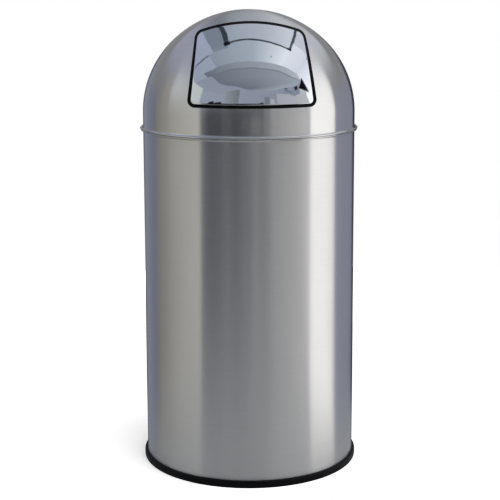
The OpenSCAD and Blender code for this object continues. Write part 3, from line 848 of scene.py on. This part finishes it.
HIGH_WALLS = [
    (-180, -110, 0.42, 0.42, "#DCDDE2"),
    (-108, -56, 0.42, 0.50, "#FFFDF6"),
    (-54, 60, 0.53, 0.42, "#E4ECFF"),
    (62, 104, 0.80, 0.60, "#FFFFFF"),
    (106, 180, 0.46, 0.42, "#DCDDE2"),
]


def wall_ring(name, z0, z1, stretches):
    """A ring of the round wall, between two heights, with its stretches of tone."""
    mat = blank_material(name)
    place = add(mat, "TexCoord").outputs["Object"]
    split = add(mat, "SeparateXYZ", {0: place})
    back_y = add(mat, "Math", {0: split.outputs["Y"], 1: -1.0}, operation="MULTIPLY")
    turn = add(mat, "Math", {0: split.outputs["X"], 1: back_y.outputs[0]}, operation="ARCTAN2")
    share = add(mat, "MapRange", {"Value": turn.outputs[0], "From Min": -pi, "From Max": pi})
    tones = add(mat, "ValToRGB", {0: share.outputs[0]})
    stops = tones.color_ramp.elements
    wanted = []
    for start, end, level0, level1, tint in stretches:
        for at, level in ((start, level0), (end, level1)):
            tone = tuple(c * level for c in linear(tint)[:3]) + (1,)
            wanted.append((min(max((at - TURN) / 360 + 0.5, 0), 1), tone))
    for i, (at, tone) in enumerate(wanted):
        stop = stops[i] if i < 2 else stops.new(at)
        stop.position, stop.color = at, tone
    glow = add(mat, "Emission", {"Color": tones.outputs[0]})
    add(mat, "OutputMaterial", {"Surface": glow.outputs[0]})
    clear_selection()
    bpy.ops.mesh.primitive_cylinder_add(vertices=ROOM_SIDES, radius=ROOM_R, depth=z1 - z0,
                                        end_fill_type="NOTHING", location=(0, 0, (z0 + z1) / 2))
    ring = bpy.context.object
    ring.name = name.replace(" ", "_")
    bpy.ops.object.transform_apply(location=True)
    dress(ring, mat)
    unseen(ring)


wall_ring("low studio walls", DEEP_Z, SPLIT_Z, LOW_WALLS)
wall_ring("high studio walls", SPLIT_Z, CEILING_Z, HIGH_WALLS)


def room_disc(name, z, tint, level):
    """A glowing disc that closes the room above or below."""
    mat = blank_material(name)
    glow = add(mat, "Emission", {"Color": linear(tint), "Strength": level})
    add(mat, "OutputMaterial", {"Surface": glow.outputs[0]})
    clear_selection()
    bpy.ops.mesh.primitive_circle_add(vertices=ROOM_SIDES, radius=ROOM_R, fill_type="NGON",
                                      location=(0, 0, z))
    disc = bpy.context.object
    disc.name = name.replace(" ", "_")
    bpy.ops.object.transform_apply(location=True)
    dress(disc, mat)
    unseen(disc)


room_disc("studio ceiling", CEILING_Z, "#ECECEE", 0.42)
room_disc("studio floor", DEEP_Z, "#FFFFFF", 0.2)

# Everything flat in the room that the polished flap shows: ceiling panels, boards, the tall
# soft light and dark things that stand about. Each is a sheet with its own tone, or with two
# that run from its first corners to its last.
SHEET_GLOW = 1.5
PANEL_DROP = 0.01
room_paint = blank_material("studio sheets")
paint = add(room_paint, "Attribute", attribute_name="tone")
glow = add(room_paint, "Emission", {"Color": paint.outputs["Color"], "Strength": SHEET_GLOW})
add(room_paint, "OutputMaterial", {"Surface": glow.outputs[0]})


def room_sheet(name, corners, tone, end_tone=None):
    mesh = bpy.data.meshes.new(name)
    mesh.from_pydata(corners, [], [tuple(range(len(corners)))])
    tones = mesh.color_attributes.new("tone", "FLOAT_COLOR", "POINT")
    for i in range(len(corners)):
        code = tone if end_tone is None or i < len(corners) / 2 else end_tone
        tones.data[i].color = linear(code)
    piece = bpy.data.objects.new(name, mesh)
    bpy.context.scene.collection.objects.link(piece)
    dress(piece, room_paint)
    unseen(piece)


def panel(name, x0, x1, y0, y1, tone, end_tone=None, drop=0.0):
    """A rectangle under the ceiling, from its left edge to its right edge."""
    z = CEILING_Z - PANEL_DROP - drop
    room_sheet(name, [(x0, y0, z), (x0, y1, z), (x1, y1, z), (x1, y0, z)], tone, end_tone)


def board(name, x0, x1, z0, z1, tone, end_tone=None, y=-3.0):
    """A rectangle that stands facing the bin, from its left edge to its right edge."""
    room_sheet(name, [(x0, y, z0), (x0, y, z1), (x1, y, z1), (x1, y, z0)], tone, end_tone)


def side_board(name, x, y0, y1, z0, z1, tone, end_tone=None):
    """A rectangle that stands along a side wall, from its front edge to its back edge."""
    room_sheet(name, [(x, y0, z0), (x, y0, z1), (x, y1, z1), (x, y1, z0)], tone, end_tone)


# The ceiling: a window with a dark frame, panels round it, and in front of it a beam and a
# rounded panel.
WIN_X0, WIN_X1, WIN_Y = -0.60, 1.28, 0.07
WIN_MID = 0.3
BAR = 0.045
LEFT_BAR = BAR * 1.3
FRONT_Z = CEILING_Z - 0.03
panel("ceiling_left", -4.0, -1.12, -0.15, 4.0, "#8F94A6", "#999DAF")
panel("ceiling_dark", -1.12, WIN_X0, -0.15, 4.0, "#757C87")
panel("ceiling_middle", -1.35, 0.1, -1.05, WIN_Y, "#848C97", "#9EA6AF")
panel("ceiling_bright", 0.1, 1.3, -1.05, WIN_Y, "#9EA6AF", "#DEE0E4")
panel("ceiling_right", 1.3, 2.2, -1.05, 0.6, "#D8DADF", "#D0D2DC")
panel("ceiling_far_right", WIN_X1, 4.0, 0.6, 4.0, "#BEC2CA", "#B4B8C2")
panel("window_left", WIN_X0, WIN_MID, WIN_Y, 4.0, "#929AA4", "#A6ACB4", drop=0.01)
panel("window_right", WIN_MID, WIN_X1, WIN_Y, 4.0, "#A6ACB4", "#C8CBD2", drop=0.01)
panel("frame_left_bar", WIN_X0 - LEFT_BAR, WIN_X0 + LEFT_BAR, WIN_Y, 4.0, "#33393F", drop=0.03)
panel("frame_right_bar", WIN_X1 - BAR, WIN_X1 + BAR, WIN_Y, 4.0, "#40464E", drop=0.03)
panel("frame_front_bar", WIN_X0, WIN_X1, WIN_Y - 0.05, WIN_Y + 0.05, "#3A4047", "#30363B",
      drop=0.03)
panel("frame_left_corner", WIN_X0 - 0.08, WIN_X0 + 0.1, WIN_Y - 0.09, WIN_Y + 0.09, "#101418",
      drop=0.05)
panel("frame_right_corner", WIN_X1 - 0.09, WIN_X1 + 0.06, WIN_Y - 0.05, WIN_Y + 0.08, "#20252A",
      drop=0.05)
panel("ceiling_left_front", -4.0, -1.35, -1.40, -0.15, "#8E95A4", "#959CAA")
panel("ceiling_end", -4.0, 3.4, -4.5, -1.42, "#888D99")
panel("left_rail", -2.5, -1.35, -0.21, -0.12, "#5C616D", drop=0.03)
panel("beam", -2.2, 3.2, -1.45, -1.05, "#626974", "#B6BAC0", drop=0.01)
panel("beam_edge", -2.0, 3.0, -1.50, -1.42, "#646B75", "#7C838B", drop=0.03)
room_sheet("ceiling_front", [(-1.95, -1.45, FRONT_Z), (-1.75, -2.4, FRONT_Z),
                             (-1.0, -3.0, FRONT_Z), (0.0, -3.6, FRONT_Z),
                             (1.5, -3.6, FRONT_Z), (2.5, -2.9, FRONT_Z),
                             (3.0, -2.2, FRONT_Z), (3.2, -1.45, FRONT_Z)], "#666C76", "#9CA2AA")
panel("speck", 0.70, 0.76, -0.70, -0.62, "#6C737C", drop=0.03)

# The sides: a pale board on the left, and on the right the tall soft light with small dark
# things by it.
LIGHT_X, LIGHT_Y0, LIGHT_Y1 = 2.1, -1.0, 0.36
LIGHT_BEND_Z, LIGHT_TOP_Z = 1.4, 2.72
side_board("pale_board", -3.0, -2.0, 0.4, SPLIT_Z - 0.1, 2.42, "#B4B9B6", "#C2C6CA")
side_board("soft_light", LIGHT_X, LIGHT_Y0, LIGHT_Y1, -2.0, LIGHT_BEND_Z, "#FFFFFF")
room_sheet("soft_light_top", [(LIGHT_X, LIGHT_Y0, LIGHT_BEND_Z), (LIGHT_X, LIGHT_Y1, LIGHT_BEND_Z),
                              (LIGHT_X, LIGHT_Y1, LIGHT_TOP_Z), (LIGHT_X, LIGHT_Y0, LIGHT_TOP_Z)],
           "#F4F5F8", "#CBCDD6")
room_sheet("dark_stand", [(2.0, -0.84, 2.10), (2.0, -1.28, 1.72), (2.0, -0.82, 1.34)], "#07070C")
side_board("small_lamp", 2.0, -1.55, -1.35, 1.72, 1.93, "#1C1D24")

# The front: a lamp, cases, grey boards and a door, and low down a dark bench.
board("left_lamp", 2.38, 2.66, 2.54, 2.82, "#2A2F36", y=-2.95)
board("low_case", 2.3, 3.2, 2.3, 2.46, "#6B727A", y=-2.95)
board("grey_board", 1.75, 4.4, 0.9, 2.16, "#A0A1A8", "#B4B4B8", y=-3.02)
side_board("grey_side_board", 3.0, -3.0, -1.35, 0.9, 1.95, "#A8A8AC", "#B4B4B8")
board("dim_door", -1.6, -0.74, 0.9, 2.35, "#8A8F96", "#6C7174")
board("case_left", 0.80, 1.12, 0.9, 1.82, "#6E747C")
board("case_right", 1.18, 1.5, 0.9, 1.7, "#A2A6AE")
board("bench", -3.1, 0.68, 0.2, 1.31, "#202024", y=-2.9)
board("bench_left", -3.1, -1.75, 0.2, 1.47, "#141418", y=-2.88)
board("bench_heap", -2.95, -2.4, 1.3, 1.62, "#101014", y=-2.86)
board("bench_post", 0.5, 0.72, 1.1, 1.4, "#2A2A30", y=-2.88)

# A square softbox overhead lights what isn't steel and casts the shadow on the paper.
lamp = bpy.data.lights.new("overhead softbox", "AREA")
lamp.shape = "SQUARE"
lamp.size = 1.6
lamp.energy = 34
overhead = bpy.data.objects.new("overhead_softbox", lamp)
overhead.location = (0.15, -0.7, 2.6)
overhead.visible_glossy = False
bpy.context.scene.collection.objects.link(overhead)

# The background is white for the camera and for what is mirrored or seen through. For every
# other ray it is a dim fill light.
FILL_LIGHT = 0.25
world = bpy.data.worlds.new("white background")
bpy.context.scene.world = world
world.use_nodes = True
world.node_tree.nodes.clear()
ray = add(world, "LightPath")
seen = add(world, "Math", {0: ray.outputs["Is Camera Ray"], 1: ray.outputs["Is Glossy Ray"]},
           operation="ADD")
seen = add(world, "Math", {0: seen.outputs[0], 1: ray.outputs["Is Transmission Ray"]},
           operation="ADD", use_clamp=True)
strength = add(world, "MapRange", {"Value": seen.outputs[0], "To Min": FILL_LIGHT, "To Max": 1.0})
sky = add(world, "Background", {"Color": (1, 1, 1, 1), "Strength": strength.outputs[0]})
add(world, "OutputWorld", {"Surface": sky.outputs[0]})
bpy.context.scene.view_settings.view_transform = "Standard"
